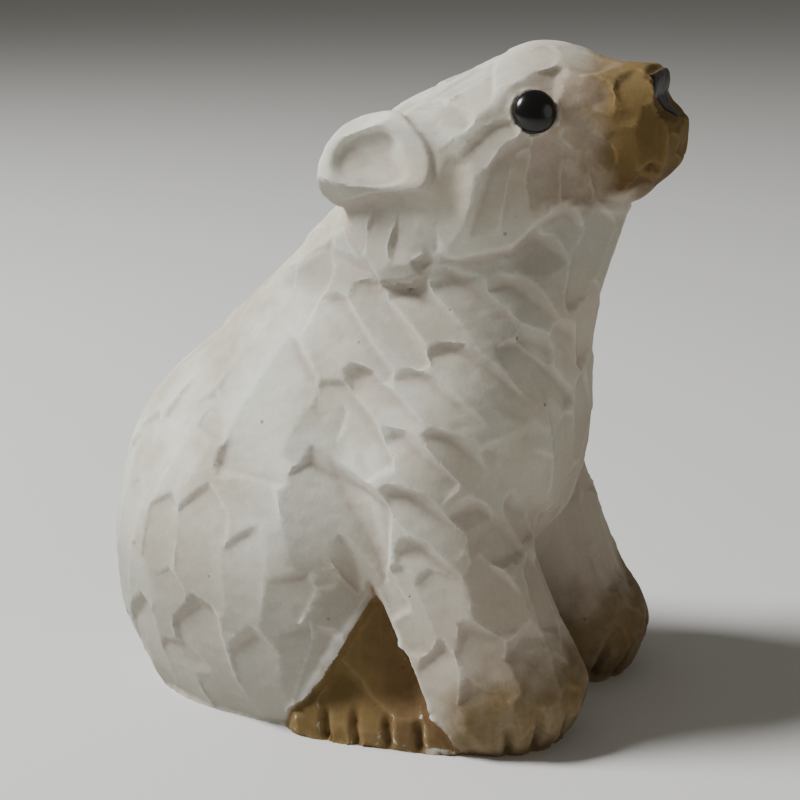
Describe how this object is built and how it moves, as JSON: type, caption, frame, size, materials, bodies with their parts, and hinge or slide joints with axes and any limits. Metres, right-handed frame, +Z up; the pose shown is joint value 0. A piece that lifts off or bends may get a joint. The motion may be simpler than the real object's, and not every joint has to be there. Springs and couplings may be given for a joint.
{
  "type": "carved wooden bear figurine",
  "caption": "Small hand-carved wooden polar bear sitting with its head raised, knife-cut facets under chalky white paint, brown stained paws and muzzle, black bead eyes.",
  "frame": {"origin": "centre of the carving's plan rectangle, on the flat underside", "axes": "+X is the way the bear faces, +Y its left side, +Z up"},
  "size_m": [0.0794, 0.0536, 0.0895],
  "materials": {
    "painted_wood": "knife-cut wood under thin chalky off-white paint, stained brown on the muzzle, flanks and paws",
    "black_bead": "glossy black domed bead"
  },
  "bodies": {
    "root": {"bear": "painted_wood", "eye_right": "black_bead", "eye_left": "black_bead"}
  },
  "joints": []
}
